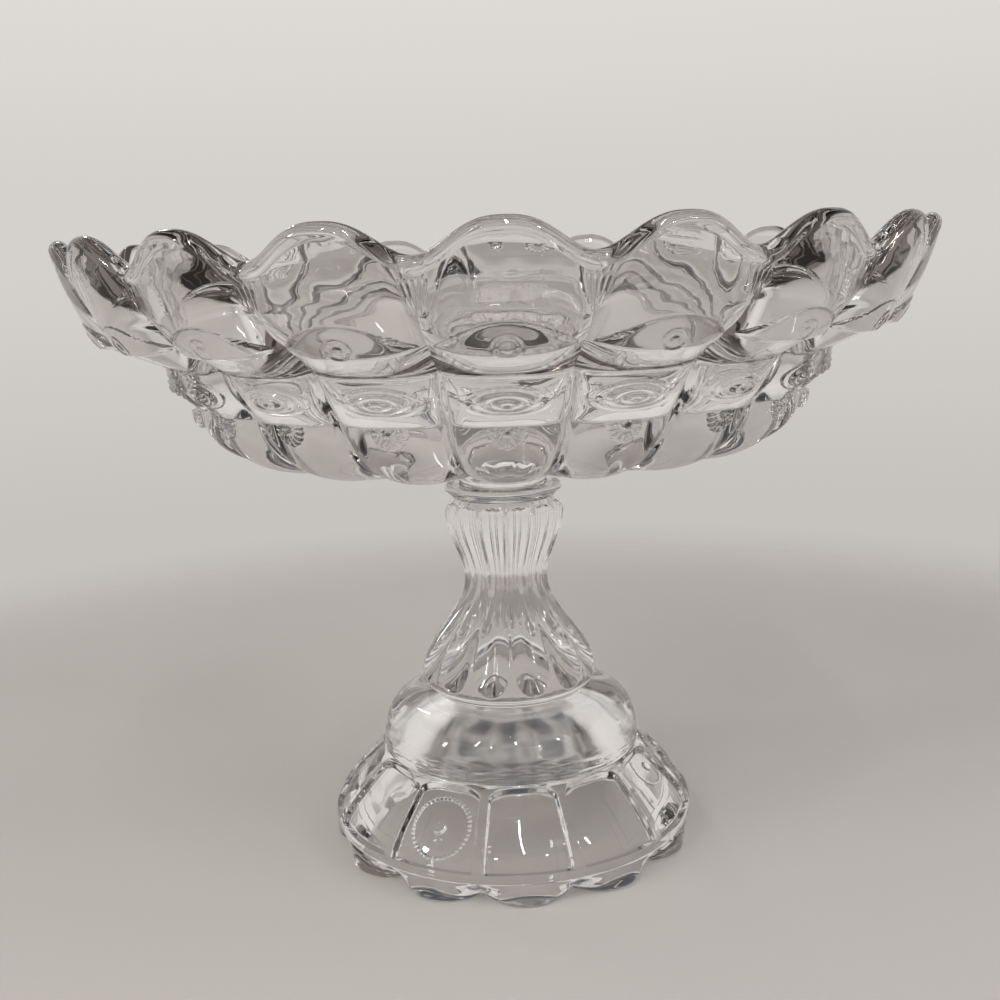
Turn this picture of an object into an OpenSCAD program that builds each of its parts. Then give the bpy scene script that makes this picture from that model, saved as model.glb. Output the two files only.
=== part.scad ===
// Footed compote bowl of clear pressed glass, in millimetres, standing on Z = 0.
// A petalled bowl is joined hot by a glass wafer to a fluted stem on a hollow, scalloped foot.

/* [Bowl] */
// Number of petals round the bowl
petal_count = 20; // [12:1:28]
// Width across the petals at the rim
bowl_rim_d = 240; // [228:1:260]
// Height from the bowl's seat to the petal tips
bowl_h = 73; // [66:0.5:82]
// Dip of the rim between two petals
petal_dip = 7; // [3:0.5:10]
// Thickness of the rim
lip_t = 5.2; // [4:0.1:7]
// Height of the rounded lip
lip_h = 2.8; // [1.5:0.1:4]
// Width across the petals where they turn under
nose_d = 213; // [206:0.5:220]
// Height of that turn above the seat
nose_h = 44.6; // [42:0.2:48]
// Width across the corner under the petals
shelf_d = 187.6; // [180:0.2:194]
// Height of that corner above the seat
shelf_h = 39.4; // [36:0.2:41]
// Width across the step below the second tier
step_d = 172; // [166:0.5:176]
// Height of that step above the seat
step_h = 28; // [24:0.5:31]
// Width across the lowest tier where it turns under
floor_d = 132; // [120:1:142]
// Height of that turn above the seat
floor_h = 11.4; // [9:0.2:14]
// Depth of the creases between petals, at the rim and at the lowest turn
crease_depth = 4; // [2:0.1:5]
// Depth of the creases where the petals turn under
nose_crease_depth = 5.2; // [2:0.1:6]
// Depth of the creases in the corners between the tiers
corner_crease_depth = 1.7; // [0.4:0.1:4]
// Glass left between the creases and the inside
wall_t = 4.4; // [3.4:0.1:6]
// Dip of the inside towards its centre
well_dip = 1.2; // [0:0.1:2]
// Width of the peg that seats the bowl
peg_d = 26; // [20:0.5:32]
// Height of that peg
peg_h = 5.5; // [3:0.1:8]

/* [Joining wafer] */
// Width of the wafer's rim
wafer_d = 34.8; // [33.6:0.2:44]
// Width of the wafer's lower face
wafer_low_d = 30; // [28:0.2:32]
// Thickness of the wafer
wafer_t = 3.6; // [2.6:0.1:5]
// Thickness of the wafer's rounded rim
wafer_edge_t = 2; // [1:0.1:2.4]

/* [Stem] */
// Number of flutes round the stem
flute_count = 13; // [8:1:16]
// Turn of the stem against the bowl's petals, in degrees
stem_turn = 0.7; // [0:0.1:14]
// Height of the stem
stem_h = 58.6; // [54:0.2:84]
// Width of the top face under the wafer
stem_top_d = 30; // [26:0.2:33]
// Width of the head's widest ring
head_d = 34.6; // [33.6:0.2:40]
// Height of the head above its widest ring
head_h = 4.6; // [3:0.1:8]
// Width of the waist
waist_d = 24; // [18:0.2:30]
// Height of the waist above the stem's foot
waist_h = 33.9; // [28:0.1:40]
// Width of the bell
bell_d = 52.4; // [48:0.2:58]
// Height of the bell's widest ring above the stem's foot
bell_h = 5.2; // [4:0.1:8]
// Width of the face that stands on the foot
stem_seat_d = 45; // [40:0.2:47]
// Height of the cove between that face and the bell
cove_h = 1.2; // [0.6:0.1:3]
// Depth of that cove
cove_depth = 0.5; // [0.1:0.1:1.5]
// Depth of the flutes at the bell
flute_depth = 3; // [1:0.1:3.6]
// Height of the flutes' lower ends above the stem's foot
flute_low = 4; // [3:0.1:8]
// Distance of the flutes' upper ends below the stem's top face
flute_top_gap = 1; // [0.5:0.1:5]
// Height of the rounded end of a flute
flute_arch = 2.4; // [1:0.1:5]
// Length over which a flute runs out at its ends
flute_fade = 2.4; // [1:0.1:5]

/* [Foot] */
// Number of lobes round the foot
lobe_count = 12; // [8:1:16]
// Turn of the foot against the bowl's petals, in degrees
foot_turn = 3; // [0:0.1:15]
// Height from the table to the stem's seat
foot_h = 44.8; // [41:0.1:52]
// Width across the lobes at the table
foot_d = 109.2; // [106:0.2:120]
// Width across the notches between lobes at the table
notch_d = 94.4; // [93:0.2:100]
// Width of the plain ring under the panels
ring_d = 108.6; // [105:0.2:112]
// Height of the ring's upper edge above the table
ring_top_h = 9; // [7.6:0.1:12]
// Height of the ring's lower edge, where the lobes part
ring_low_h = 6.4; // [4:0.1:7.2]
// Depth of the arched panels between the ribs
panel_recess = 1.8; // [0.4:0.1:2.4]
// Width of the shoulder at its lower corner
shoulder_d = 76.8; // [72:0.2:82]
// Height of that corner above the table
shoulder_h = 28.2; // [25:0.1:32]
// Rounding of the edge on the table
edge_round = 1.2; // [0.5:0.1:1.6]
// Width of the hollow at the table
hollow_d = 89; // [80:0.2:90]
// Width of the hollow where its ceiling starts
neck_d = 52; // [44:0.2:58]
// Height at which the hollow is that wide
neck_h = 22.5; // [18:0.1:25]
// Height of the hollow's ceiling
hollow_h = 28; // [26:0.1:34]
// Width of the flat in the middle of the hollow's ceiling
ceiling_d = 8; // [4:0.2:25]

/* [Hidden] */

// Places of the seats above the table
wafer_z = foot_h + stem_h;
bowl_z = wafer_z + wafer_t;
flute_high = stem_h - flute_top_gap;

// Where the middle of each curve lies, from its lower end (0) to its upper end (1), across and up
petal_belly_shares = [0.59, 0.17];
tier_belly_shares = [0.78, 0.35];
tier_crease_shares = [0.5, 0.5];
base_belly_shares = [0.92, 0.14];
base_crease_shares = [0.75, 0.3];
inner_petal_shares = [0.55, 0.25];
inner_nose_shares = [0.2, 0.88];
inner_base_shares = [0.78, 0.15];
shoulder_shares = [-0.075, 1];
skirt_shares = [0.03, 0.25];
chamber_shares = [0.16, 0.54];
ceiling_shares = [0.4, 1];

// Direction in which a crease and the wall behind it go in: across and up
crease_shares = [-0.7, 0.6];
wall_shares = [-0.6, 0.85];
recess_shares = [-0.7, -0.7];

// How full the arcs of the petals, tiers, base and lobes are, from a pointed roof (1) to a flat one (large)
petal_fullness = 2.6;
tier_fullness = 4;
base_fullness = 2.2;
lobe_fullness = 2;

// How broad the crests of the rim's wave are, from even waves (1) to broad crests (large)
crest_breadth = 1.3;

// Columns across one petal, flute and lobe, from its left edge (-1) to its middle (0)
petal_column_shares = [-1, -0.67, -0.33, 0, 0.33, 0.67];
flute_column_shares = [-1, -0.7, -0.35, 0, 0.35, 0.7];
lobe_column_shares = [-1, -0.9, -0.78, -0.4, 0, 0.4, 0.78, 0.9];
panel_edge_share = 0.84;
panel_top_share = 0.06;
panel_foot_share = 0.92;

// Rows along each curve
lip_rows = 5;
petal_rows = 7;
tier_rows = 4;
base_rows = 5;
cove_rows = 3;
stem_rows = 5;
shoulder_rows = 8;
skirt_rows = 7;
chamber_rows = 5;
ceiling_rows = 4;

function mix(a, b, t) = a + (b - a) * t;
function clamp(t) = min(1, max(0, t));
function ease(t) = (1 - cos(180 * t)) / 2;

// One curve from an upper point to a lower point, bent towards its belly
function bend(upper, lower, shares, t) =
    let (belly = [mix(lower[0], upper[0], shares[0]), mix(lower[1], upper[1], shares[1])])
    mix(mix(upper, belly, t), mix(belly, lower, t), t);
function falling(upper, lower, shares, rows) =
    [for (i = [0 : rows - 1]) bend(upper, lower, shares, i / rows)];
function rising(lower, upper, shares, rows) =
    [for (i = [0 : rows - 1]) bend(upper, lower, shares, 1 - i / rows)];

// A closed glass body from one outline, [radius, height] points, for each column round the axis.
// Every outline runs up the outside, and both ends close on the axis.
module glass_body(angles, outlines) {
    columns = len(angles);
    rows = len(outlines[0]);
    wall_points = [for (k = [0 : columns - 1]) for (p = outlines[k])
        [p[0] * sin(angles[k]), -p[0] * cos(angles[k]), p[1]]];
    start = len(wall_points);
    ends = [[0, 0, outlines[0][0][1]], [0, 0, outlines[0][rows - 1][1]]];
    wall_faces = [for (k = [0 : columns - 1]) for (i = [0 : rows - 2])
        let (a = k * rows + i, b = ((k + 1) % columns) * rows + i)
        each [[a, a + 1, b + 1], [a, b + 1, b]]];
    end_faces = [for (k = [0 : columns - 1])
        let (a = k * rows, b = ((k + 1) % columns) * rows)
        each [[start, a, b], [start + 1, b + rows - 1, a + rows - 1]]];
    polyhedron(concat(wall_points, ends), concat(wall_faces, end_faces));
}

// Columns round the axis for a pattern repeated count times: [angle, place across the pattern]
function columns_round(count, shares) =
    [for (k = [0 : count - 1]) for (u = shares) [360 / count * (k + u / 2), u]];

// Outline of the bowl, above its seat, at a place u across a petal. The tiers swell between creases
// that run straight up from the base and open into a soft wave at the rim.
function bowl_outline(u) =
    let (
        petal_depth = pow(abs(u), petal_fullness),
        tier_depth = pow(abs(u), tier_fullness),
        base_depth = pow(abs(u), base_fullness),
        wave = ease(pow(abs(u), crest_breadth)) * [crease_depth * crease_shares[0], -petal_dip],
        corner_crease = tier_depth * corner_crease_depth * crease_shares,
        inward = crease_depth * crease_shares + wall_t * wall_shares,
        rim = [bowl_rim_d / 2, bowl_h - lip_h] + wave,
        nose = [nose_d / 2, nose_h] + petal_depth * nose_crease_depth * crease_shares,
        shelf = [shelf_d / 2, shelf_h],
        step = [step_d / 2, step_h],
        base = [floor_d / 2, floor_h],
        base_turn = base + base_depth * crease_depth * crease_shares,
        tier_shares = mix(tier_belly_shares, tier_crease_shares, tier_depth),
        base_shares = mix(base_belly_shares, base_crease_shares, tier_depth),
        inner_rim = rim - [lip_t, 0]
    )
    concat(
        [[peg_d / 2, 0], [peg_d / 2, peg_h]],
        rising(base_turn, step + corner_crease, base_shares, base_rows),
        rising(step + corner_crease, shelf + corner_crease, tier_shares, tier_rows),
        [shelf + corner_crease],
        rising(nose, rim, petal_belly_shares, petal_rows),
        [for (i = [0 : lip_rows - 1])
            let (a = 180 * i / lip_rows)
            mix(rim, inner_rim, (1 - cos(a)) / 2) + [0, lip_h * sin(a)]],
        falling(inner_rim, shelf + inward, inner_petal_shares, petal_rows),
        falling(shelf + inward, step + inward, inner_nose_shares, tier_rows),
        falling(step + inward, base + inward, inner_base_shares, base_rows),
        [base + inward, [peg_d / 2, base[1] + inward[1] - well_dip]]
    );

// The bowl: three tiers of petals outside, smooth inside, on a short peg
module bowl() {
    columns = columns_round(petal_count, petal_column_shares);
    color([0.89, 0.88, 0.88, 0.5])
        translate([0, 0, bowl_z])
            glass_body(
                [for (c = columns) c[0]],
                [for (c = columns) bowl_outline(c[1])]
            );
}

// The wafer of hot glass between bowl and stem, wider above than below, with a rounded rim
module joining_wafer() {
    low = [wafer_low_d / 2, 0];
    side = [wafer_d / 2, wafer_t - wafer_edge_t / 2];
    top = [(wafer_d - wafer_edge_t) / 2, wafer_t];
    color([0.82, 0.81, 0.82, 0.5])
        translate([0, 0, wafer_z])
            rotate_extrude($fn = 96) {
                polygon([[0, 0], low, side, top, [0, wafer_t]]);
                translate([top[0], side[1]])
                    circle(d = wafer_edge_t, $fn = 48);
            }
}

// Radius of the stem's ridges at a height above its foot
function stem_radius(h) =
    let (head_z = stem_h - head_h)
    h < cove_h
        ? stem_seat_d / 2 - cove_depth * sin(180 * h / cove_h)
        : h < bell_h
            ? mix(stem_seat_d, bell_d, sqrt(1 - pow((bell_h - h) / (bell_h - cove_h), 2))) / 2
            : h < waist_h
                ? mix(bell_d, waist_d, ease((h - bell_h) / (waist_h - bell_h))) / 2
                : h < head_z
                    ? mix(waist_d, head_d, ease((h - waist_h) / (head_z - waist_h))) / 2
                    : mix(head_d, stem_top_d, pow((h - head_z) / head_h, 2)) / 2;

// Depth of a flute at a height h and a place u across it, with rounded ends
function flute_cut(h, u) =
    flute_depth * stem_radius(h) / (bell_d / 2) * (1 - u * u)
        * clamp((h - flute_low - flute_arch * u * u) / flute_fade)
        * clamp((flute_high - h - flute_arch * u * u) / flute_fade);

// Heights of the stem's rows, closer together on its round ends
stem_heights = concat(
    [for (i = [0 : cove_rows - 1]) cove_h * i / cove_rows],
    [for (i = [0 : stem_rows - 1]) mix(cove_h, bell_h, 1 - cos(90 * i / stem_rows))],
    [for (i = [0 : 2 * stem_rows - 1]) mix(bell_h, waist_h, i / stem_rows / 2)],
    [for (i = [0 : 2 * stem_rows - 1]) mix(waist_h, stem_h - head_h, i / stem_rows / 2)],
    [for (i = [0 : stem_rows]) stem_h - head_h + head_h * i / stem_rows]
);

// The stem: a waisted column with a bell below, cut by concave flutes
module stem() {
    columns = columns_round(flute_count, flute_column_shares);
    color([0.86, 0.85, 0.86, 0.5])
        translate([0, 0, foot_h])
            rotate([0, 0, stem_turn + 180 / flute_count])
                glass_body(
                    [for (c = columns) c[0]],
                    [for (c = columns) [for (h = stem_heights) [stem_radius(h) - flute_cut(h, c[1]), h]]]
                );
}

// Share of the panel's depth at a place u across a lobe and a place t down the skirt
function panel_share(u, t) =
    abs(u) < panel_edge_share && t < panel_foot_share && t > panel_top_share * (1 + u * u) ? 1 : 0;

// Outline of the foot at a place u across a lobe: out from the seat, down the skirt and up the hollow,
// listed from the hollow's ceiling so that it runs up the outside
function foot_outline(u) =
    let (
        w = 1 - pow(abs(u), lobe_fullness),
        seat = [stem_seat_d / 2, foot_h],
        corner = [shoulder_d / 2, shoulder_h],
        ring_top = [ring_d / 2, ring_top_h],
        edge = [mix(notch_d, foot_d, w) / 2, edge_round],
        neck = [neck_d / 2, neck_h],
        mouth = [hollow_d / 2, 0]
    )
    concat(
        falling([ceiling_d / 2, hollow_h], neck, ceiling_shares, ceiling_rows),
        falling(neck, mouth, chamber_shares, chamber_rows),
        [mouth, [edge[0] - edge_round, 0], edge, [ring_d / 2, ring_low_h], ring_top],
        [for (i = [1 : skirt_rows - 1])
            let (t = 1 - i / skirt_rows)
            bend(corner, ring_top, skirt_shares, t) + panel_recess * panel_share(u, t) * recess_shares],
        rising(corner, seat, shoulder_shares, shoulder_rows),
        [seat]
    );

// The foot: a domed shoulder over arched panels, a plain ring and parted lobes, hollow below
module foot() {
    columns = columns_round(lobe_count, lobe_column_shares);
    color([0.84, 0.83, 0.84, 0.5])
        rotate([0, 0, foot_turn])
            glass_body([for (c = columns) c[0]], [for (c = columns) foot_outline(c[1])]);
}

bowl();
joining_wafer();
stem();
foot();
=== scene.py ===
import math
import bpy
import numpy as np
from mathutils import Matrix, Vector


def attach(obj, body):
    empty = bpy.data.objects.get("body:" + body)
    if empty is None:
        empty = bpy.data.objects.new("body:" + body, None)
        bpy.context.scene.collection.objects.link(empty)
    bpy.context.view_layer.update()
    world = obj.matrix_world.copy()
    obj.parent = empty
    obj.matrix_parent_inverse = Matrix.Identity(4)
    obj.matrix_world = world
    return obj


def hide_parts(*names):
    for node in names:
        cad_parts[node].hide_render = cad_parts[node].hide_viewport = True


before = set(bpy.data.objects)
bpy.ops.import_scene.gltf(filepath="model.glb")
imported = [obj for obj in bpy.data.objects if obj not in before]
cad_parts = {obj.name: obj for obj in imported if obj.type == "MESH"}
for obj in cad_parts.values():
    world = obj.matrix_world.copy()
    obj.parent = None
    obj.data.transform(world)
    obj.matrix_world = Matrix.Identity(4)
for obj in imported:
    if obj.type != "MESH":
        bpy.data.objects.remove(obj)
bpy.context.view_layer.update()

scene = bpy.context.scene
scene.view_settings.view_transform = "Standard"
MM = 0.001


# Camera: the photograph's own view, found from the rim petals, the creases and the scallops of the foot.
# It stands a little above the rim, leans down 11 degrees and is rolled by about 2 degrees.
CAMERA_PLACE = Vector((-5.5, -353.5, 171.2)) * MM
CAMERA_PITCH = 0.1944
CAMERA_YAW = 0.0126
CAMERA_ROLL = -0.0333
CAMERA_LENS = 43.66
SENSOR_WIDTH = 36
CLIP_START = 10 * MM

forward = Vector((math.cos(CAMERA_PITCH) * math.sin(CAMERA_YAW),
                  math.cos(CAMERA_PITCH) * math.cos(CAMERA_YAW),
                  -math.sin(CAMERA_PITCH)))
level = Vector((math.cos(CAMERA_YAW), -math.sin(CAMERA_YAW), 0))
upright = level.cross(forward)
right = math.cos(CAMERA_ROLL) * level + math.sin(CAMERA_ROLL) * upright
above = math.cos(CAMERA_ROLL) * upright - math.sin(CAMERA_ROLL) * level
camera = bpy.data.objects.new("camera", bpy.data.cameras.new("camera"))
camera.data.lens = CAMERA_LENS
camera.data.sensor_width = SENSOR_WIDTH
camera.data.clip_start = CLIP_START
turn = Matrix((right, above, -forward)).transposed()
camera.matrix_world = Matrix.Translation(CAMERA_PLACE) @ turn.to_4x4()
scene.collection.objects.link(camera)
scene.camera = camera


# Floor and backdrop: a plain pale floor that fades out into a pale room, the same all round.
# The floor lies a hair under the foot, since two faces in one plane would flicker.
FLOOR_GAP = 0.2 * MM
FLOOR_HALF = 2.5
FLOOR_COLOUR = (0.46, 0.43, 0.40, 1)
FLOOR_ROUGHNESS = 0.85
FLOOR_SHINE = 0.15
FADE_START = 0.27
FADE_END = 0.45

floor_mesh = bpy.data.meshes.new("floor")
corners = [(x * FLOOR_HALF, y * FLOOR_HALF, -FLOOR_GAP) for x, y in ((-1, -1), (1, -1), (1, 1), (-1, 1))]
floor_mesh.from_pydata(corners, [], [(0, 1, 2, 3)])
floor = bpy.data.objects.new("floor", floor_mesh)
scene.collection.objects.link(floor)
floor_material = bpy.data.materials.new("pale_floor")
floor_material.use_nodes = True
tree = floor_material.node_tree
floor_shader = tree.nodes["Principled BSDF"]
floor_shader.inputs["Base Color"].default_value = FLOOR_COLOUR
floor_shader.inputs["Roughness"].default_value = FLOOR_ROUGHNESS
floor_shader.inputs["Specular IOR Level"].default_value = FLOOR_SHINE
floor_place = tree.nodes.new("ShaderNodeTexCoord")
from_middle = tree.nodes.new("ShaderNodeVectorMath")
from_middle.operation = "LENGTH"
fade = tree.nodes.new("ShaderNodeMapRange")
fade.interpolation_type = "SMOOTHSTEP"
fade.inputs["From Min"].default_value = FADE_START
fade.inputs["From Max"].default_value = FADE_END
beyond = tree.nodes.new("ShaderNodeBsdfTransparent")
fading = tree.nodes.new("ShaderNodeMixShader")
tree.links.new(floor_place.outputs["Object"], from_middle.inputs[0])
tree.links.new(from_middle.outputs["Value"], fade.inputs["Value"])
tree.links.new(fade.outputs["Result"], fading.inputs["Fac"])
tree.links.new(floor_shader.outputs["BSDF"], fading.inputs[1])
tree.links.new(beyond.outputs["BSDF"], fading.inputs[2])
tree.links.new(fading.outputs["Shader"], tree.nodes["Material Output"].inputs["Surface"])
floor_mesh.materials.append(floor_material)


# Room and light: pale walls under a dim ceiling and two large soft boxes, which the glass doesn't mirror.
# It mirrors a small window, four strips and two spots, as the sharp lights on the photograph's glass.
ROOM_LIGHT = (0.5, 0.5, 0.51, 1)
# Share of the height from straight down (0) to straight up (1), and the room's colour there
ROOM_TONES = (
    (0.00, (0.38, 0.355, 0.33, 1)),
    (0.34, (0.38, 0.355, 0.33, 1)),
    (0.38, (0.56, 0.535, 0.505, 1)),
    (0.52, (0.66, 0.635, 0.605, 1)),
    (0.62, (0.74, 0.710, 0.68, 1)),
    (0.78, (0.70, 0.680, 0.66, 1)),
    (0.82, (0.14, 0.145, 0.155, 1)),
    (0.85, (0.05, 0.055, 0.065, 1)),
    (1.00, (0.05, 0.055, 0.065, 1)),
)
# Name, place, width, depth, watts, colour and whether the glass mirrors it
LAMPS = (
    ("key_box", (-0.75, -0.65, 1.05), 0.7, 0.7, 6, (1.0, 0.97, 0.93), False),
    ("fill_box", (0.85, -0.35, 0.95), 0.6, 0.6, 4, (0.95, 0.97, 1.0), False),
    ("window_left", (-0.95, -0.45, 0.55), 0.08, 0.16, 1.4, (0.90, 0.95, 1.0), True),
    ("strip_left", (-0.60, -0.75, 0.95), 0.03, 0.35, 1.3, (1.0, 0.98, 0.95), True),
    ("strip_front", (0.04, -0.62, 0.95), 0.025, 0.5, 1.6, (1.0, 1.0, 1.0), True),
    ("strip_right", (0.70, -0.60, 0.85), 0.03, 0.16, 0.8, (0.90, 0.95, 1.0), True),
    ("strip_back", (-0.50, 0.80, 0.75), 0.03, 0.16, 0.7, (1.0, 0.98, 0.95), True),
    ("spot_left", (-0.30, -0.80, 0.65), 0.04, 0.04, 0.4, (1.0, 0.98, 0.95), True),
    ("spot_right", (0.35, -0.75, 0.60), 0.04, 0.04, 0.4, (0.9, 0.95, 1.0), True),
)
AIM = Vector((0, 0, 0.1))

room = bpy.data.worlds.new("room")
room.use_nodes = True
scene.world = room
tree = room.node_tree
plain_light = tree.nodes["Background"]
plain_light.inputs["Color"].default_value = ROOM_LIGHT
seen_room = tree.nodes.new("ShaderNodeBackground")
direction = tree.nodes.new("ShaderNodeTexCoord")
split = tree.nodes.new("ShaderNodeSeparateXYZ")
height_share = tree.nodes.new("ShaderNodeMapRange")
height_share.inputs["From Min"].default_value = -1
tones = tree.nodes.new("ShaderNodeValToRGB")
tones.color_ramp.interpolation = "EASE"
while len(tones.color_ramp.elements) < len(ROOM_TONES):
    tones.color_ramp.elements.new(1)
for element, (place, colour) in zip(tones.color_ramp.elements, ROOM_TONES):
    element.position = place
    element.color = colour
rays = tree.nodes.new("ShaderNodeLightPath")
seen_or_shone = tree.nodes.new("ShaderNodeMath")
seen_or_shone.operation = "MAXIMUM"
seen_at_all = tree.nodes.new("ShaderNodeMath")
seen_at_all.operation = "MAXIMUM"
choose = tree.nodes.new("ShaderNodeMixShader")
tree.links.new(direction.outputs["Generated"], split.inputs["Vector"])
tree.links.new(split.outputs["Z"], height_share.inputs["Value"])
tree.links.new(height_share.outputs["Result"], tones.inputs["Fac"])
tree.links.new(tones.outputs["Color"], seen_room.inputs["Color"])
tree.links.new(rays.outputs["Is Camera Ray"], seen_or_shone.inputs[0])
tree.links.new(rays.outputs["Is Glossy Ray"], seen_or_shone.inputs[1])
tree.links.new(seen_or_shone.outputs["Value"], seen_at_all.inputs[0])
tree.links.new(rays.outputs["Is Transmission Ray"], seen_at_all.inputs[1])
tree.links.new(seen_at_all.outputs["Value"], choose.inputs["Fac"])
tree.links.new(plain_light.outputs["Background"], choose.inputs[1])
tree.links.new(seen_room.outputs["Background"], choose.inputs[2])
tree.links.new(choose.outputs["Shader"], tree.nodes["World Output"].inputs["Surface"])
for lamp_name, place, wide, deep, watts, colour, mirrored in LAMPS:
    lamp = bpy.data.lights.new(lamp_name, "AREA")
    lamp.shape = "RECTANGLE"
    lamp.size = wide
    lamp.size_y = deep
    lamp.energy = watts
    lamp.color = colour
    lamp_object = bpy.data.objects.new(lamp_name, lamp)
    lamp_object.location = place
    lamp_object.visible_glossy = mirrored
    lamp_object.visible_transmission = mirrored
    lamp_object.rotation_euler = (AIM - Vector(place)).to_track_quat("-Z", "Y").to_euler()
    scene.collection.objects.link(lamp_object)


# Foot: hollow pressed glass, a smooth dome over twelve arched panels with ribs between them, then a
# plain ring and parted lobes that stand on the table. Every fourth panel carries a ring of beads.
LOBES = 12
FOOT_TURN = math.radians(3)
FOOT_H = 44.8 * MM
FOOT_R = 54.6 * MM
NOTCH_R = 47.2 * MM
RING_R = 54.3 * MM
RING_TOP = 9 * MM
RING_LOW = 6.4 * MM
RING_LINE = 0.3 * MM
SHOULDER = np.array([38.4, 28.2]) * MM
SEAT_R = 22.5 * MM
EDGE_ROUND = 1.2 * MM
MOUTH_R = 44.5 * MM
NECK = np.array([26.0, 22.5]) * MM
CEILING = np.array([4.0, 28.0]) * MM
CEILING_TIP_R = 1 * MM
SHOULDER_SHARES = (-0.075, 1)
SKIRT_SHARES = (0.03, 0.25)
CHAMBER_SHARES = (0.16, 0.54)
CEILING_SHARES = (0.4, 1)
PANEL_RECESS = 1.8 * MM
PANEL_EDGE = 0.87
PANEL_SIDE_SOFT = 0.035
PANEL_TOP = 0.035
PANEL_CORNER = 0.1
PANEL_FOOT = 0.94
PANEL_END_SOFT = 0.02
PANEL_CROWN = 0.5 * MM
BEAD_LOBES = (3, 7, 11)
BEAD_COUNT = 42
BEAD_RING_R = 8.7 * MM
BEAD_R = 0.62 * MM
BEAD_H = 0.75 * MM
BEAD_CENTRE = 0.365
BOSS_R = 2 * MM
BOSS_H = 1.1 * MM
CHILL_LOW = 27 * MM
CHILL_HIGH = 35 * MM
CHILL_DEPTH = 0.5 * MM
TINY = 1e-12
SEAM_SLOT = 1
MATT_SLOT = 2


def mix(a, b, t):
    return a + (b - a) * t


def step(low, high, x):
    """Smooth rise from 0 to 1 between two values."""
    t = np.clip((x - low) / (high - low), 0, 1)
    return t * t * (3 - 2 * t)


def bend(upper, lower, shares, t):
    """Points of one curve from an upper point (t 0) to a lower one (t 1), for every column at once."""
    upper, lower = np.asarray(upper), np.asarray(lower)
    belly = lower + np.asarray(shares) * (upper - lower)
    t = np.asarray(t).reshape(-1, 1, 1)
    return (1 - t) ** 2 * upper + 2 * t * (1 - t) * belly + t ** 2 * lower


def spread(point, columns):
    """One [radius, height] point repeated for every column."""
    return np.broadcast_to(np.asarray(point, float), (columns, 2))


def line(start, end, t):
    """Points on the straight line between two points, for every column at once."""
    return mix(start, end, np.asarray(t).reshape(-1, 1, 1))


def raise_by(points, height):
    """Moves the points of a grid along its normals, outwards, by a height for each point."""
    along = np.gradient(points, axis=0)
    across = np.roll(points, -1, axis=1) - np.roll(points, 1, axis=1)
    normal = np.cross(across, along)
    length = np.linalg.norm(normal, axis=2, keepdims=True)
    return points + normal / np.maximum(length, TINY) * height[:, :, None]


def placed(outline, angles):
    """A grid of points in space from outlines of [radius, height]."""
    radius, height = outline[:, :, 0], outline[:, :, 1]
    return np.stack([radius * np.sin(angles), -radius * np.cos(angles), height], 2)


def skin(name, points, materials, seams=(False, False), matt_rows=0):
    """The mesh of a grid of points that closes round its columns and ends on the axis.

    Fused ends take the second material, and the first rows, where asked, the third.
    """
    count, columns = points.shape[:2]
    ends = np.array([[0, 0, points[0, :, 2].mean()], [0, 0, points[-1, :, 2].mean()]])
    verts = np.vstack([points.reshape(-1, 3), ends])
    low, high = count * columns, count * columns + 1
    here = np.arange(columns)
    after = np.roll(here, -1)
    walls = []
    for i in range(count - 1):
        a = i * columns
        walls.append(np.stack([a + here, a + after, a + columns + after, a + columns + here], 1))
    walls = np.concatenate(walls)
    last = (count - 1) * columns
    floor_fan = np.stack([np.full(columns, low), after, here], 1)
    roof_fan = np.stack([np.full(columns, high), last + here, last + after], 1)
    loops = np.concatenate([walls.ravel(), floor_fan.ravel(), roof_fan.ravel()])
    sizes = np.concatenate([np.full(len(walls), 4), np.full(2 * columns, 3)])
    mesh = bpy.data.meshes.new(name)
    mesh.vertices.add(len(verts))
    mesh.vertices.foreach_set("co", verts.ravel())
    mesh.loops.add(len(loops))
    mesh.loops.foreach_set("vertex_index", loops)
    mesh.polygons.add(len(sizes))
    mesh.polygons.foreach_set("loop_start", np.concatenate([[0], np.cumsum(sizes)[:-1]]))
    mesh.update(calc_edges=True)
    mesh.validate()
    smooth = np.ones(len(sizes), bool)
    slots = np.zeros(len(sizes), int)
    if matt_rows:
        slots[:matt_rows * columns] = MATT_SLOT
        slots[len(walls):len(walls) + columns] = MATT_SLOT
    for seam, first in zip(seams, (len(walls), len(walls) + columns)):
        if seam:
            smooth[first:first + columns] = False
            slots[first:first + columns] = SEAM_SLOT
    mesh.polygons.foreach_set("use_smooth", smooth)
    for material in materials:
        mesh.materials.append(material)
    mesh.polygons.foreach_set("material_index", slots)
    piece = bpy.data.objects.new(name, mesh)
    scene.collection.objects.link(piece)
    return piece


def node_group(name, inputs, outputs):
    """An empty shader node group with named sockets."""
    group = bpy.data.node_groups.new(name, "ShaderNodeTree")
    for socket, kind, value in inputs:
        made = group.interface.new_socket(socket, in_out="INPUT", socket_type=kind)
        if value is not None:
            made.default_value = value
    for socket, kind in outputs:
        group.interface.new_socket(socket, in_out="OUTPUT", socket_type=kind)
    start = group.nodes.new("NodeGroupInput")
    end = group.nodes.new("NodeGroupOutput")
    return group, start, end


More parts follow.
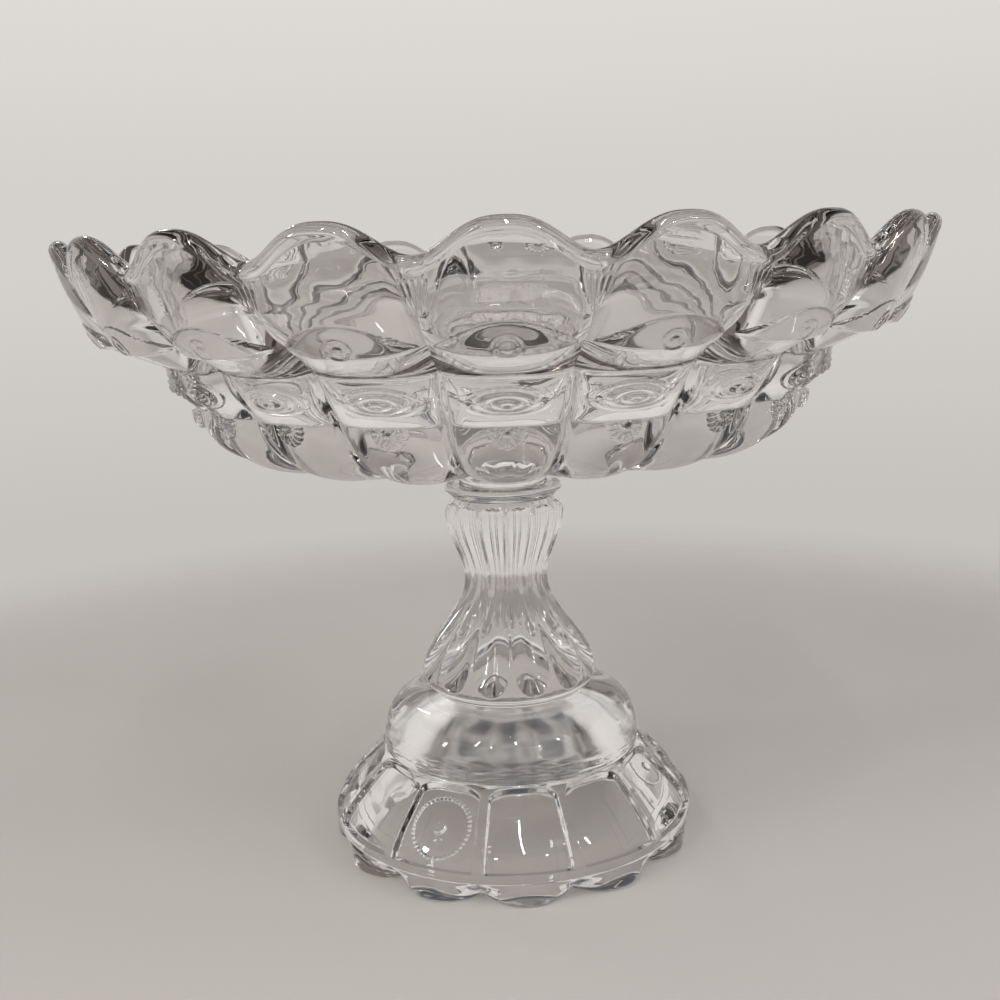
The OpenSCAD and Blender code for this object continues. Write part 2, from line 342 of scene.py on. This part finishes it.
# The slow waves that fire polishing leaves on pressed glass, as a height over the surface
WAVE_STRETCH = (1, 1, 3.2)
WAVE_DETAIL = 1.5
WAVE_ROUGHNESS = 0.4
waves, waves_in, waves_out = node_group(
    "fire_polish_waves",
    [("Vector", "NodeSocketVector", None), ("Size", "NodeSocketFloat", 60.0)],
    [("Height", "NodeSocketFloat")],
)
stretch = waves.nodes.new("ShaderNodeMapping")
stretch.inputs["Scale"].default_value = WAVE_STRETCH
wave_noise = waves.nodes.new("ShaderNodeTexNoise")
wave_noise.inputs["Detail"].default_value = WAVE_DETAIL
wave_noise.inputs["Roughness"].default_value = WAVE_ROUGHNESS
waves.links.new(waves_in.outputs["Vector"], stretch.inputs["Vector"])
waves.links.new(stretch.outputs["Vector"], wave_noise.inputs["Vector"])
waves.links.new(waves_in.outputs["Size"], wave_noise.inputs["Scale"])
waves.links.new(wave_noise.outputs["Fac"], waves_out.inputs["Height"])

# The fine rubbing of a used piece: nearly polished, with duller streaks
WEAR_SIZE = 90
WEAR_DETAIL = 5
WEAR_START = 0.55
WEAR_FULL = 0.8
wear, wear_in, wear_out = node_group(
    "handled_glass",
    [("Vector", "NodeSocketVector", None), ("Polish", "NodeSocketFloat", 0.008),
     ("Dull", "NodeSocketFloat", 0.05)],
    [("Roughness", "NodeSocketFloat")],
)
wear_noise = wear.nodes.new("ShaderNodeTexNoise")
wear_noise.inputs["Scale"].default_value = WEAR_SIZE
wear_noise.inputs["Detail"].default_value = WEAR_DETAIL
wear_range = wear.nodes.new("ShaderNodeMapRange")
wear_range.inputs["From Min"].default_value = WEAR_START
wear_range.inputs["From Max"].default_value = WEAR_FULL
wear.links.new(wear_in.outputs["Vector"], wear_noise.inputs["Vector"])
wear.links.new(wear_noise.outputs["Fac"], wear_range.inputs["Value"])
wear.links.new(wear_in.outputs["Polish"], wear_range.inputs["To Min"])
wear.links.new(wear_in.outputs["Dull"], wear_range.inputs["To Max"])
wear.links.new(wear_range.outputs["Result"], wear_out.inputs["Roughness"])

# The faint tint of old clear glass, which drifts from warm grey to lilac
TINT_SIZE = 18
tint, tint_in, tint_out = node_group(
    "old_glass_tint",
    [("Vector", "NodeSocketVector", None), ("Warm", "NodeSocketColor", None),
     ("Lilac", "NodeSocketColor", None)],
    [("Color", "NodeSocketColor")],
)
tint_noise = tint.nodes.new("ShaderNodeTexNoise")
tint_noise.inputs["Scale"].default_value = TINT_SIZE
tint_mix = tint.nodes.new("ShaderNodeMix")
tint_mix.data_type = "RGBA"
tint.links.new(tint_in.outputs["Vector"], tint_noise.inputs["Vector"])
tint.links.new(tint_noise.outputs["Fac"], tint_mix.inputs["Factor"])
tint.links.new(tint_in.outputs["Warm"], tint_mix.inputs["A"])
tint.links.new(tint_in.outputs["Lilac"], tint_mix.inputs["B"])
tint.links.new(tint_mix.outputs["Result"], tint_out.inputs["Color"])

# The ripples that a cool mould leaves in a band round a piece, as a height over the surface
RIPPLE_STRETCH = (1, 1, 6)
RIPPLE_SIZE = 130
RIPPLE_DETAIL = 2
RIPPLE_RISEN = 0.3
RIPPLE_FALL = 0.5
ripples, ripples_in, ripples_out = node_group(
    "chill_ripples",
    [("Vector", "NodeSocketVector", None), ("Low", "NodeSocketFloat", 0.0),
     ("High", "NodeSocketFloat", 0.1)],
    [("Height", "NodeSocketFloat")],
)
ripple_stretch = ripples.nodes.new("ShaderNodeMapping")
ripple_stretch.inputs["Scale"].default_value = RIPPLE_STRETCH
ripple_noise = ripples.nodes.new("ShaderNodeTexNoise")
ripple_noise.inputs["Scale"].default_value = RIPPLE_SIZE
ripple_noise.inputs["Detail"].default_value = RIPPLE_DETAIL
ripple_split = ripples.nodes.new("ShaderNodeSeparateXYZ")
above_low = ripples.nodes.new("ShaderNodeMath")
above_low.operation = "SUBTRACT"
band_height = ripples.nodes.new("ShaderNodeMath")
band_height.operation = "SUBTRACT"
band_share = ripples.nodes.new("ShaderNodeMath")
band_share.operation = "DIVIDE"
ripple_rise = ripples.nodes.new("ShaderNodeMapRange")
ripple_rise.interpolation_type = "SMOOTHSTEP"
ripple_rise.inputs["From Max"].default_value = RIPPLE_RISEN
ripple_fall = ripples.nodes.new("ShaderNodeMapRange")
ripple_fall.interpolation_type = "SMOOTHSTEP"
ripple_fall.inputs["From Min"].default_value = RIPPLE_FALL
ripple_fall.inputs["To Min"].default_value = 1
ripple_fall.inputs["To Max"].default_value = 0
ripple_mask = ripples.nodes.new("ShaderNodeMath")
ripple_mask.operation = "MULTIPLY"
ripple_height = ripples.nodes.new("ShaderNodeMath")
ripple_height.operation = "MULTIPLY"
ripples.links.new(ripples_in.outputs["Vector"], ripple_stretch.inputs["Vector"])
ripples.links.new(ripple_stretch.outputs["Vector"], ripple_noise.inputs["Vector"])
ripples.links.new(ripples_in.outputs["Vector"], ripple_split.inputs["Vector"])
ripples.links.new(ripple_split.outputs["Z"], above_low.inputs[0])
ripples.links.new(ripples_in.outputs["Low"], above_low.inputs[1])
ripples.links.new(ripples_in.outputs["High"], band_height.inputs[0])
ripples.links.new(ripples_in.outputs["Low"], band_height.inputs[1])
ripples.links.new(above_low.outputs["Value"], band_share.inputs[0])
ripples.links.new(band_height.outputs["Value"], band_share.inputs[1])
ripples.links.new(band_share.outputs["Value"], ripple_rise.inputs["Value"])
ripples.links.new(band_share.outputs["Value"], ripple_fall.inputs["Value"])
ripples.links.new(ripple_rise.outputs["Result"], ripple_mask.inputs[0])
ripples.links.new(ripple_fall.outputs["Result"], ripple_mask.inputs[1])
ripples.links.new(ripple_noise.outputs["Fac"], ripple_height.inputs[0])
ripples.links.new(ripple_mask.outputs["Value"], ripple_height.inputs[1])
ripples.links.new(ripple_height.outputs["Value"], ripples_out.inputs["Height"])

GLASS_WARM = (0.985, 0.978, 0.966, 1)
GLASS_LILAC = (0.975, 0.968, 0.974, 1)
GLASS_IOR = 1.5
SHADE = (0.50, 0.49, 0.48, 1)
TRAPPED_DEPTH = 3.5
TRAPPED_TINT = (0.22, 0.195, 0.18, 1)


def pressed_glass(name, wave_size, wave_depth, polish, dull, chill=None):
    """Clear pressed glass with slow waves, a faint tint and light wear. Lamps shine through it.

    Light that is thrown back too often inside it leaves it dimmed, or those parts would turn black.
    A chill gives the lower and upper height of a rippled band and the depth of its ripples.
    """
    material = bpy.data.materials.new(name)
    material.use_nodes = True
    tree = material.node_tree
    shader = tree.nodes["Principled BSDF"]
    shader.inputs["Transmission Weight"].default_value = 1
    shader.inputs["IOR"].default_value = GLASS_IOR
    coords = tree.nodes.new("ShaderNodeTexCoord")
    groups = {}
    for group in (waves, wear, tint):
        groups[group.name] = tree.nodes.new("ShaderNodeGroup")
        groups[group.name].node_tree = group
        tree.links.new(coords.outputs["Object"], groups[group.name].inputs["Vector"])
    groups["fire_polish_waves"].inputs["Size"].default_value = wave_size
    groups["handled_glass"].inputs["Polish"].default_value = polish
    groups["handled_glass"].inputs["Dull"].default_value = dull
    groups["old_glass_tint"].inputs["Warm"].default_value = GLASS_WARM
    groups["old_glass_tint"].inputs["Lilac"].default_value = GLASS_LILAC
    bump = tree.nodes.new("ShaderNodeBump")
    bump.inputs["Distance"].default_value = wave_depth
    tree.links.new(groups["fire_polish_waves"].outputs["Height"], bump.inputs["Height"])
    surface = bump
    if chill:
        band = tree.nodes.new("ShaderNodeGroup")
        band.node_tree = ripples
        chill_low, chill_high, ripple_depth = chill
        band.inputs["Low"].default_value = chill_low
        band.inputs["High"].default_value = chill_high
        surface = tree.nodes.new("ShaderNodeBump")
        surface.inputs["Distance"].default_value = ripple_depth
        tree.links.new(coords.outputs["Object"], band.inputs["Vector"])
        tree.links.new(band.outputs["Height"], surface.inputs["Height"])
        tree.links.new(bump.outputs["Normal"], surface.inputs["Normal"])
    tree.links.new(surface.outputs["Normal"], shader.inputs["Normal"])
    tree.links.new(groups["handled_glass"].outputs["Roughness"], shader.inputs["Roughness"])
    tree.links.new(groups["old_glass_tint"].outputs["Color"], shader.inputs["Base Color"])
    rays = tree.nodes.new("ShaderNodeLightPath")
    shine_through = tree.nodes.new("ShaderNodeBsdfTransparent")
    shine_through.inputs["Color"].default_value = SHADE
    choose = tree.nodes.new("ShaderNodeMixShader")
    tree.links.new(rays.outputs["Is Shadow Ray"], choose.inputs["Fac"])
    tree.links.new(shader.outputs["BSDF"], choose.inputs[1])
    tree.links.new(shine_through.outputs["BSDF"], choose.inputs[2])
    trapped = tree.nodes.new("ShaderNodeMath")
    trapped.operation = "GREATER_THAN"
    trapped.inputs[1].default_value = TRAPPED_DEPTH
    let_out = tree.nodes.new("ShaderNodeBsdfTransparent")
    let_out.inputs["Color"].default_value = TRAPPED_TINT
    set_free = tree.nodes.new("ShaderNodeMixShader")
    tree.links.new(rays.outputs["Glossy Depth"], trapped.inputs[0])
    tree.links.new(trapped.outputs["Value"], set_free.inputs["Fac"])
    tree.links.new(choose.outputs["Shader"], set_free.inputs[1])
    tree.links.new(let_out.outputs["BSDF"], set_free.inputs[2])
    tree.links.new(set_free.outputs["Shader"], tree.nodes["Material Output"].inputs["Surface"])
    return material


# Where two pieces are fused no surface is left, so those discs show nothing
fused_seam = bpy.data.materials.new("fused_seam")
fused_seam.use_nodes = True
fused_seam.node_tree.nodes["Principled BSDF"].inputs["Alpha"].default_value = 0

foot_glass = pressed_glass("foot_glass", wave_size=70, wave_depth=0.25 * MM, polish=0.012, dull=0.09,
                           chill=(CHILL_LOW, CHILL_HIGH, CHILL_DEPTH))
hollow_glass = pressed_glass("hollow_glass", wave_size=60, wave_depth=0.4 * MM, polish=0.14, dull=0.28)
rib_half = np.concatenate([np.linspace(0.81, 0.98, 14), [1.0]])
plain_half = np.concatenate([np.linspace(0, 0.78, 11)[1:], rib_half])
bead_half = np.concatenate([np.linspace(0, 0.79, 48)[1:], rib_half])
lobe_u, lobe_k = [], []
for k in range(LOBES):
    half = bead_half if k in BEAD_LOBES else plain_half
    lobe_u.append(np.concatenate([-half[::-1], [0], half[:-1]]))
    lobe_k.append(np.full(len(lobe_u[-1]), k))
lobe_u, lobe_k = np.concatenate(lobe_u), np.concatenate(lobe_k)
foot_angles = FOOT_TURN + 2 * math.pi / LOBES * (lobe_k + lobe_u / 2)
columns = len(lobe_u)
edge_r = mix(NOTCH_R, FOOT_R, 1 - lobe_u ** 2)
corner_turn = np.linspace(0, math.pi / 2, 7)[:, None]
edge_round = np.stack([edge_r - EDGE_ROUND + EDGE_ROUND * np.sin(corner_turn),
                       np.broadcast_to(EDGE_ROUND * (1 - np.cos(corner_turn)), (7, columns))], 2)
ring_low, ring_top = spread((RING_R, RING_LOW), columns), spread((RING_R, RING_TOP), columns)
shoulder, seat = spread(SHOULDER, columns), spread((SEAT_R, FOOT_H), columns)
neck, ceiling = spread(NECK, columns), spread(CEILING, columns)
ceiling_tip, mouth = spread((CEILING_TIP_R, CEILING[1]), columns), spread((MOUTH_R, 0), columns)
skirt_t = np.concatenate([
    np.linspace(1, 0.9, 16),
    np.linspace(0.895, 0.12, 110),
    np.linspace(0.114, 0, 20),
])
under_skirt = [
    line(ceiling_tip, ceiling, np.linspace(0, 0.9, 3)),
    bend(ceiling, neck, CEILING_SHARES, np.linspace(0, 0.97, 16)),
    bend(neck, mouth, CHAMBER_SHARES, np.linspace(0.02, 0.98, 24)),
    line(mouth, edge_round[0], np.linspace(0.04, 0.96, 4)),
    edge_round,
    line(edge_round[-1], ring_low, np.linspace(0.08, 0.97, 12)),
    line(ring_low, ring_top, np.linspace(0.05, 0.97, 9)),
]
first_skirt = sum(len(rows) for rows in under_skirt)
skirt_rows = slice(first_skirt, first_skirt + len(skirt_t))
foot_outline = np.concatenate(under_skirt + [
    bend(shoulder, ring_top, SKIRT_SHARES, skirt_t),
    bend(seat, shoulder, SHOULDER_SHARES, np.linspace(0.985, 0, 36)),
])
foot_points = placed(foot_outline, foot_angles)
relief = -RING_LINE * np.exp(-((foot_outline[:, :, 1] - RING_LOW) / RING_LINE) ** 2)
relief[:first_skirt - len(under_skirt[-1]) - len(under_skirt[-2])] = 0
across = np.abs(lobe_u)[None, :]
down = skirt_t[:, None]
panel = 1 - step(PANEL_EDGE - PANEL_SIDE_SOFT, PANEL_EDGE + PANEL_SIDE_SOFT, across)
panel = panel * (1 - step(PANEL_FOOT - PANEL_END_SOFT, PANEL_FOOT + PANEL_END_SOFT, down))
arch = PANEL_TOP + PANEL_CORNER * across ** 4
panel = panel * step(arch - PANEL_END_SOFT, arch + PANEL_END_SOFT, down)
crown = PANEL_CROWN * np.clip(1 - across ** 2, 0, 1) * np.clip(4 * down * (1 - down), 0, 1)
side = foot_outline[skirt_rows, :, 0] * (lobe_u * math.pi / LOBES)[None, :]
middle = foot_outline[skirt_rows, np.argmin(np.abs(lobe_u))]
run = np.concatenate([[0], np.cumsum(np.linalg.norm(np.diff(middle, axis=0), axis=1))])
up = (run - np.interp(1 - BEAD_CENTRE, 1 - skirt_t, run))[:, None]
beads = np.zeros_like(side)
for i in range(BEAD_COUNT):
    turn_by = 2 * math.pi * i / BEAD_COUNT
    away = np.hypot(side - BEAD_RING_R * math.sin(turn_by), up - BEAD_RING_R * math.cos(turn_by)) / BEAD_R
    beads = np.maximum(beads, BEAD_H * np.sqrt(np.clip(1 - away ** 2, 0, 1)))
away = np.hypot(side, up) / BOSS_R
beads = np.maximum(beads, BOSS_H * np.sqrt(np.clip(1 - away ** 2, 0, 1)))
relief[skirt_rows] += (crown - PANEL_RECESS) * panel + beads * np.isin(lobe_k, BEAD_LOBES)[None, :]
hollow_rows = sum(len(rows) for rows in under_skirt[:2])
foot_materials = [foot_glass, fused_seam, hollow_glass]
foot = skin("foot_glass", raise_by(foot_points, relief), foot_materials, (False, True), hollow_rows)
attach(foot, "root")
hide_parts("foot")


# Stem: solid pressed glass, waisted, with thirteen hollow flutes between crisp ridges and a bell below.
# It is fused to the foot under the bell and to the wafer at its head.
FLUTES = 13
STEM_TURN = math.radians(0.7) + math.pi / FLUTES
STEM_H = 58.6 * MM
STEM_TOP_R = 15 * MM
HEAD_R = 17.3 * MM
HEAD_H = 4.6 * MM
WAIST_R = 12 * MM
WAIST_H = 33.9 * MM
BELL_R = 26.2 * MM
BELL_H = 5.2 * MM
COVE_H = 1.2 * MM
COVE_DEPTH = 0.5 * MM
FLUTE_DEPTH = 3.6 * MM
FLUTE_EDGE = 0.92
FLUTE_ROUND = 1.15
RIDGE_WIDE = 0.7 * MM
RIDGE_H = 0.4 * MM
FLUTE_LOW = 4 * MM
FLUTE_GAP = 1 * MM
FLUTE_HIGH = STEM_H - FLUTE_GAP
FLUTE_ARCH = 12 * MM
FLUTE_TOP_ARCH = 3 * MM
FLUTE_END_POWER = 3


def ease(t):
    return (1 - np.cos(math.pi * np.clip(t, 0, 1))) / 2


def stem_radius(h):
    """Radius of the stem's ridges at a height above the foot."""
    head_z = STEM_H - HEAD_H
    cove = SEAT_R - COVE_DEPTH * np.sin(math.pi * h / COVE_H)
    drop = np.clip((BELL_H - h) / (BELL_H - COVE_H), 0, 1)
    bell = mix(SEAT_R, BELL_R, np.sqrt(1 - drop ** 2))
    lower = mix(BELL_R, WAIST_R, ease((h - BELL_H) / (WAIST_H - BELL_H)))
    upper = mix(WAIST_R, HEAD_R, ease((h - WAIST_H) / (head_z - WAIST_H)))
    head = mix(HEAD_R, STEM_TOP_R, np.clip((h - head_z) / HEAD_H, 0, 1) ** 2)
    return np.select([h < COVE_H, h < BELL_H, h < WAIST_H, h < head_z], [cove, bell, lower, upper], head)


def revolve(name, outline, angles, materials, seams=(False, False)):
    """A closed body from outlines of [radius, height] points, one column for each angle round the axis."""
    return skin(name, placed(outline, angles), materials, seams)


stem_glass = pressed_glass("stem_glass", wave_size=90, wave_depth=0.12 * MM, polish=0.008, dull=0.05)
flute_half = np.concatenate([np.linspace(0, 0.75, 13)[1:], np.linspace(0.78, 1, 14)])
flute_columns = np.concatenate([-flute_half[::-1], [0], flute_half[:-1]])
flute_u = np.tile(flute_columns, FLUTES)
flute_k = np.repeat(np.arange(FLUTES), len(flute_columns))
stem_angles = STEM_TURN + 2 * math.pi / FLUTES * (flute_k + flute_u / 2)
stem_h = np.concatenate([
    np.linspace(0, COVE_H, 8)[:-1],
    COVE_H + (BELL_H - COVE_H) * (1 - np.cos(np.linspace(0, math.pi / 2, 24)))[:-1],
    np.linspace(BELL_H, 2 * BELL_H, 24)[:-1],
    np.linspace(2 * BELL_H, WAIST_H, 44)[:-1],
    np.linspace(WAIST_H, STEM_H - HEAD_H, 36)[:-1],
    np.linspace(STEM_H - HEAD_H, STEM_H, 26),
])[:, None]
ridge = stem_radius(stem_h)
low_end = 1 - np.clip((stem_h - FLUTE_LOW) / FLUTE_ARCH, 0, 1)
high_end = 1 - np.clip((FLUTE_HIGH - stem_h) / FLUTE_TOP_ARCH, 0, 1)
flute_ends = low_end ** FLUTE_END_POWER + high_end ** FLUTE_END_POWER
in_flute = np.clip(1 - flute_ends - (flute_u / FLUTE_EDGE) ** 2, 0, 1) ** FLUTE_ROUND
from_ridge = ridge * math.pi / FLUTES * (1 - np.abs(flute_u))
ridge_bead = RIDGE_H * np.exp(-(from_ridge / RIDGE_WIDE) ** 2) * (1 - low_end) * (1 - high_end)
stem_r = ridge + ridge_bead - FLUTE_DEPTH * ridge / BELL_R * in_flute
stem_outline = np.stack([stem_r, np.broadcast_to(FOOT_H + stem_h, stem_r.shape)], 2)
stem = revolve("stem_glass", stem_outline, stem_angles, [stem_glass, fused_seam], (True, True))
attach(stem, "root")
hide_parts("stem")


# Joining wafer: a disc of hot glass that was pressed between bowl and stem to stick them together.
# It is wider above than below, and its rim is round from the heat.
WAFER_LOW = FOOT_H + STEM_H
WAFER_T = 3.6 * MM
WAFER_R = 17.4 * MM
WAFER_EDGE_R = 1 * MM
PEG_R = 13 * MM
WAFER_RIM_START = -0.5
WAFER_COLUMNS = 192

wafer_glass = pressed_glass("wafer_glass", wave_size=120, wave_depth=0.1 * MM, polish=0.008, dull=0.04)
rim_turn = np.linspace(WAFER_RIM_START, math.pi / 2, 14)
wafer_rim = np.stack([WAFER_R - WAFER_EDGE_R * (1 - np.cos(rim_turn)),
                      WAFER_T - WAFER_EDGE_R * (1 - np.sin(rim_turn))], 1)
wafer_side = mix(np.array([STEM_TOP_R, 0]), wafer_rim[0], np.linspace(0, 0.94, 6)[:, None])
wafer_top = mix(wafer_rim[-1], np.array([PEG_R, WAFER_T]), np.linspace(0.1, 1, 4)[:, None])
wafer_line = np.vstack([wafer_side, wafer_rim, wafer_top])
wafer_line[:, 1] += WAFER_LOW
wafer_angles = np.arange(WAFER_COLUMNS) * 2 * math.pi / WAFER_COLUMNS
wafer_outline = np.repeat(wafer_line[:, None, :], WAFER_COLUMNS, axis=1)
wafer = revolve("wafer_glass", wafer_outline, wafer_angles, [wafer_glass, fused_seam], (True, True))
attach(wafer, "root")
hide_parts("joining_wafer")


# Bowl: one thick glass pressing with twenty petals in three tiers and a rounded lip, smooth inside.
# Each petal carries a bullseye on a mound, ovals within ovals below it and a half daisy under that.
PETALS = 20
BOWL_Z = WAFER_LOW + WAFER_T
BOWL_H = 73 * MM
RIM_R = 120 * MM
PETAL_DIP = 7 * MM
LIP_T = 5.2 * MM
LIP_H = 2.8 * MM
NOSE = np.array([106.5, 44.6]) * MM
SHELF = np.array([93.8, 39.4]) * MM
STEP = np.array([86.0, 28.0]) * MM
BASE = np.array([66.0, 11.4]) * MM
CREASE_WAY = np.array([-0.7, 0.6])
CREASE = CREASE_WAY * 4 * MM
NOSE_CREASE = CREASE_WAY * 5.2 * MM
CORNER_CREASE = CREASE_WAY * 1.7 * MM
WALL_WAY = np.array([-0.6, 0.85])
INWARD = CREASE + WALL_WAY * 4.4 * MM
WELL_DIP = 1.2 * MM
PEG_H = 5.5 * MM
PETAL_FULLNESS = 2.6
TIER_FULLNESS = 4
BASE_FULLNESS = 2.2
CREST_BREADTH = 1.3
PETAL_SHARES = (0.59, 0.17)
TIER_SHARES = np.array([0.78, 0.35])
TIER_CREASE_SHARES = np.array([0.5, 0.5])
BASE_SHARES = np.array([0.92, 0.14])
BASE_CREASE_SHARES = np.array([0.75, 0.3])
INNER_PETAL_SHARES = (0.55, 0.25)
INNER_NOSE_SHARES = (0.2, 0.88)
INNER_BASE_SHARES = (0.78, 0.15)
PLEATS = 2.5
PLEAT_WIDE = 0.24
PLEAT_START = (0.08, 0.14)
PLEAT_END = 0.5
PLEAT_LEAST = 0.02
PLEAT_FADE = 0.5
PLEAT_H = 0.3 * MM
BULLSEYE_AT = 0.75
EYE_R = 1.44 * MM
EYE_RING_R = 2.6 * MM
EYE_RING_WIDE = 0.6 * MM
EYE_H = 0.22 * MM
ARCH_W = 15 * MM
ARCH_UP = 10.6 * MM
ARCH_FOOT = 3 * MM
ARCH_H = 1.2 * MM
OVAL_AT = 0.4
OVAL_HALF_W = 11 * MM
OVAL_HALF_H = 4.4 * MM
OVAL_DOME = 1.1 * MM
OVAL_RING = 0.34 * MM
OVAL_RINGS = 3
FAN_LEAVES = 9
FAN_STEP = math.radians(20)
FAN_R = 5.3 * MM
FAN_H = 1.8 * MM
FAN_SHORTER = 0.05
LEAF_START = (0.1, 0.35)
LEAF_ROUND = 0.4
GROOVE_WIDE = 0.9 * MM
GROOVE_DEPTH = 0.7 * MM

bowl_glass = pressed_glass("bowl_glass", wave_size=45, wave_depth=0.18 * MM, polish=0.006, dull=0.05)
petal_half = np.concatenate([
    np.linspace(0, 0.4, 17)[1:],
    np.linspace(0.46, 0.67, 4),
    np.linspace(0.72, 0.99, 22),
    [1.0],
])
petal_columns = np.concatenate([-petal_half[::-1], [0], petal_half[:-1]])
petal_u = np.tile(petal_columns, PETALS)
petal_k = np.repeat(np.arange(PETALS), len(petal_columns))
bowl_angles = 2 * math.pi / PETALS * (petal_k + petal_u / 2)
columns = len(petal_u)
petal_depth, tier_depth, base_depth = ((np.abs(petal_u) ** fullness)[:, None]
                                       for fullness in (PETAL_FULLNESS, TIER_FULLNESS, BASE_FULLNESS))
wave = ease(np.abs(petal_u) ** CREST_BREADTH)[:, None] * np.array([CREASE[0], -PETAL_DIP])
rim = np.array([RIM_R, BOWL_H - LIP_H]) + wave
inner_rim = rim - np.array([LIP_T, 0])
nose, base = NOSE + petal_depth * NOSE_CREASE, BASE + base_depth * CREASE
shelf, tier = SHELF + tier_depth * CORNER_CREASE, STEP + tier_depth * CORNER_CREASE
tier_shares = mix(TIER_SHARES, TIER_CREASE_SHARES, tier_depth)
base_shares = mix(BASE_SHARES, BASE_CREASE_SHARES, tier_depth)
inner_shelf, inner_tier, inner_base = (spread(p + INWARD, columns) for p in (SHELF, STEP, BASE))
peg_low, peg_high = spread((PEG_R, 0), columns), spread((PEG_R, PEG_H), columns)
well = spread((PEG_R, BASE[1] + INWARD[1] - WELL_DIP), columns)
base_t = np.concatenate([np.linspace(0.99, 0.29, 12), np.linspace(0.26, 0.006, 24)])
tier_t = np.concatenate([np.linspace(0.98, 0.8, 5), np.linspace(0.77, 0.03, 38), [0.012]])
under_t = np.concatenate([np.linspace(0.03, 0.64, 7), np.linspace(0.7, 0.98, 7)])
petal_t = np.concatenate([np.linspace(1, 0.5, 44), np.linspace(0.485, 0.03, 30)])
lip_turn = np.linspace(0, math.pi, 13)[:, None, None]
lip = mix(rim, inner_rim, (1 - np.cos(lip_turn)) / 2) + np.array([0, LIP_H]) * np.sin(lip_turn)
below_base = [
    line(peg_low, peg_high, [0, 0.5, 0.9]),
    line(peg_high, base, np.linspace(0.01, 0.98, 9)),
]
outside = np.concatenate(below_base + [
    bend(tier, base, base_shares, base_t),
    bend(shelf, tier, tier_shares, tier_t),
    line(shelf, nose, under_t),
    bend(rim, nose, PETAL_SHARES, petal_t),
])
bowl_outline = np.concatenate([
    outside,
    lip,
    bend(inner_rim, inner_shelf, INNER_PETAL_SHARES, np.linspace(0.02, 0.98, 32)),
    bend(inner_shelf, inner_tier, INNER_NOSE_SHARES, np.linspace(0.02, 0.98, 18)),
    bend(inner_tier, inner_base, INNER_BASE_SHARES, np.linspace(0.02, 0.99, 24)),
    line(inner_base, well, np.linspace(0.04, 1, 5)),
])
bowl_outline[:, :, 1] += BOWL_Z
crest_line = outside[:, np.argmin(np.abs(petal_u))]
run = np.concatenate([[0], np.cumsum(np.linalg.norm(np.diff(crest_line, axis=0), axis=1))])
side = outside[:, :, 0] * (petal_u * math.pi / PETALS)[None, :]
first_base = sum(len(rows) for rows in below_base)
first_tier = first_base + len(base_t)
first_under = first_tier + len(tier_t)
first_petal = first_under + len(under_t)
base_rows, tier_rows = slice(first_base, first_tier), slice(first_tier, first_under)
petal_rows = slice(first_petal, first_petal + len(petal_t))
bowl_relief = np.zeros(bowl_outline.shape[:2])

up = run[petal_rows, None] - np.interp(1 - BULLSEYE_AT, 1 - petal_t, run[petal_rows])
away = np.hypot(side[petal_rows], up)
eye = EYE_H * ease(1 - np.abs(away - EYE_RING_R) / EYE_RING_WIDE) + EYE_H * ease(2 - 2 * away / EYE_R)
above_nose = run - run[petal_rows][0]
arch = (side / ARCH_W) ** 2 + (above_nose / ARCH_UP)[:, None] ** 2
swell = ARCH_H * np.sqrt(np.clip(1 - arch, 0, 1)) * step(0, ARCH_FOOT, above_nose)[:, None]
pleat_wide = PLEAT_WIDE * np.clip(1 - petal_t / PLEAT_END, PLEAT_LEAST, 1)[:, None]
from_valley = (1 - np.abs(petal_u))[None, :] / pleat_wide
pleats = np.cos(2 * math.pi * PLEATS * from_valley) * step(0, PLEAT_FADE, 1 - from_valley)
pleats = pleats * (step(*PLEAT_START, petal_t) * np.clip(1 - petal_t / PLEAT_END, 0, 1))[:, None]
bowl_relief[petal_rows] = swell[petal_rows] + eye + PLEAT_H * pleats

up = run[tier_rows, None] - np.interp(1 - OVAL_AT, 1 - tier_t, run[tier_rows])
away = np.hypot(side[tier_rows] / OVAL_HALF_W, up / OVAL_HALF_H)
rings = np.cos(2 * math.pi * OVAL_RINGS * away) * np.clip(1 - away ** 4, 0, 1)
bowl_relief[tier_rows] = OVAL_DOME * ease(1 - away) - OVAL_RING * rings * (away < 1)

down = run[base_rows][-1] - run[base_rows, None]
away = np.hypot(side[base_rows], down)
lean = np.arctan2(side[base_rows], np.maximum(down, TINY))
leaf = np.clip(np.round(lean / FAN_STEP), -(FAN_LEAVES // 2), FAN_LEAVES // 2)
beside = np.abs(lean - leaf * FAN_STEP) / (FAN_STEP / 2)
along = away / (FAN_R * (1 - FAN_SHORTER * np.abs(leaf)))
tip = np.sqrt(np.clip(1 - (np.clip(along - 1 + LEAF_ROUND, 0, 1) / LEAF_ROUND) ** 2, 0, 1))
leaf_shape = np.sqrt(np.clip(1 - beside ** 2, 0, 1)) * step(*LEAF_START, along) * tip
bowl_relief[base_rows] = FAN_H * leaf_shape
from_crease = outside[:, :, 0] * ((1 - np.abs(petal_u)) * math.pi / PETALS)[None, :]
groove = -GROOVE_DEPTH * np.exp(-(from_crease / GROOVE_WIDE) ** 2)
bowl_relief[base_rows] += groove[base_rows]
bowl_relief[tier_rows] += groove[tier_rows]
bowl_points = raise_by(placed(bowl_outline, bowl_angles), bowl_relief)
bowl = skin("bowl_glass", bowl_points, [bowl_glass, fused_seam], (True, False))
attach(bowl, "root")
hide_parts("bowl")
